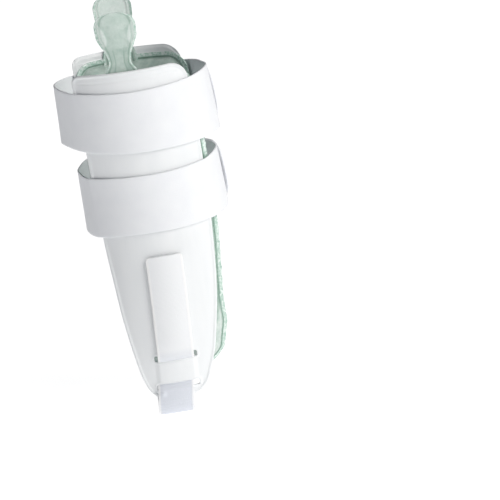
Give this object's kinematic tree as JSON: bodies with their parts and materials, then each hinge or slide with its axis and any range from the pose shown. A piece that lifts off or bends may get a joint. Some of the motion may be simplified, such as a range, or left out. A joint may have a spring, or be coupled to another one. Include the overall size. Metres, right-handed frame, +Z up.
{
  "type": "air ankle brace",
  "caption": "Stirrup ankle brace with two moulded side shells, welded air cells with filling tabs, two wrap-round leg straps and a webbing heel strap.",
  "frame": {"origin": "middle of the heel strap's flat underside, where the brace stands", "axes": "+X to the toes, -Y to the outer side of a right leg, +Z up along the leg"},
  "size_m": [0.1077, 0.1048, 0.273],
  "materials": {
    "shell_plastic": "white moulded plastic, satin, with a rounded bright rim",
    "cell_film": "thin translucent pale green vinyl film with crinkled welds",
    "strap_fabric": "white brushed loop fabric and woven webbing"
  },
  "bodies": {
    "root": {"lateral_shell": "shell_plastic", "medial_shell": "shell_plastic", "lateral_air_cell": "cell_film", "medial_air_cell": "cell_film", "upper_strap": "strap_fabric", "lower_strap": "strap_fabric", "heel_strap": "strap_fabric"}
  },
  "joints": []
}
